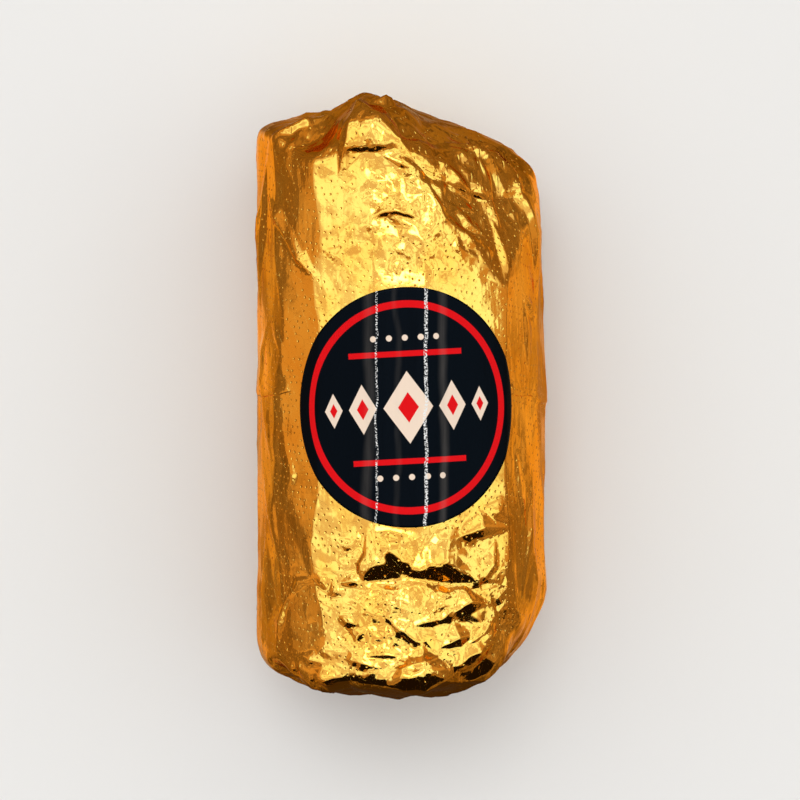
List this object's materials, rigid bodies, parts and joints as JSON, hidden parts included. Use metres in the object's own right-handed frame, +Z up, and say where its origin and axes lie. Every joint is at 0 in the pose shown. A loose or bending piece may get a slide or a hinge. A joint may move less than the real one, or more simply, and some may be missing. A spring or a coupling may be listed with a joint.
{
  "type": "burrito",
  "caption": "Whole burrito wrapped in crumpled gold foil, lying on its side, with a round black sticker on top.",
  "frame": {"origin": "on the table, under the middle of the burrito as it lies", "axes": "+Z up through the sticker, +Y along the roll to its gathered top end, +X to the right of someone reading the sticker"},
  "size_m": [0.0792, 0.164, 0.0788],
  "materials": {
    "gold_foil": "thin crumpled gold foil, glossy, with a fine pin-dot emboss",
    "label_paper": "glossy black printed sticker, worn along two creases"
  },
  "bodies": {
    "root": {"foil_wrap": "gold_foil", "round_label": "label_paper"}
  },
  "joints": []
}
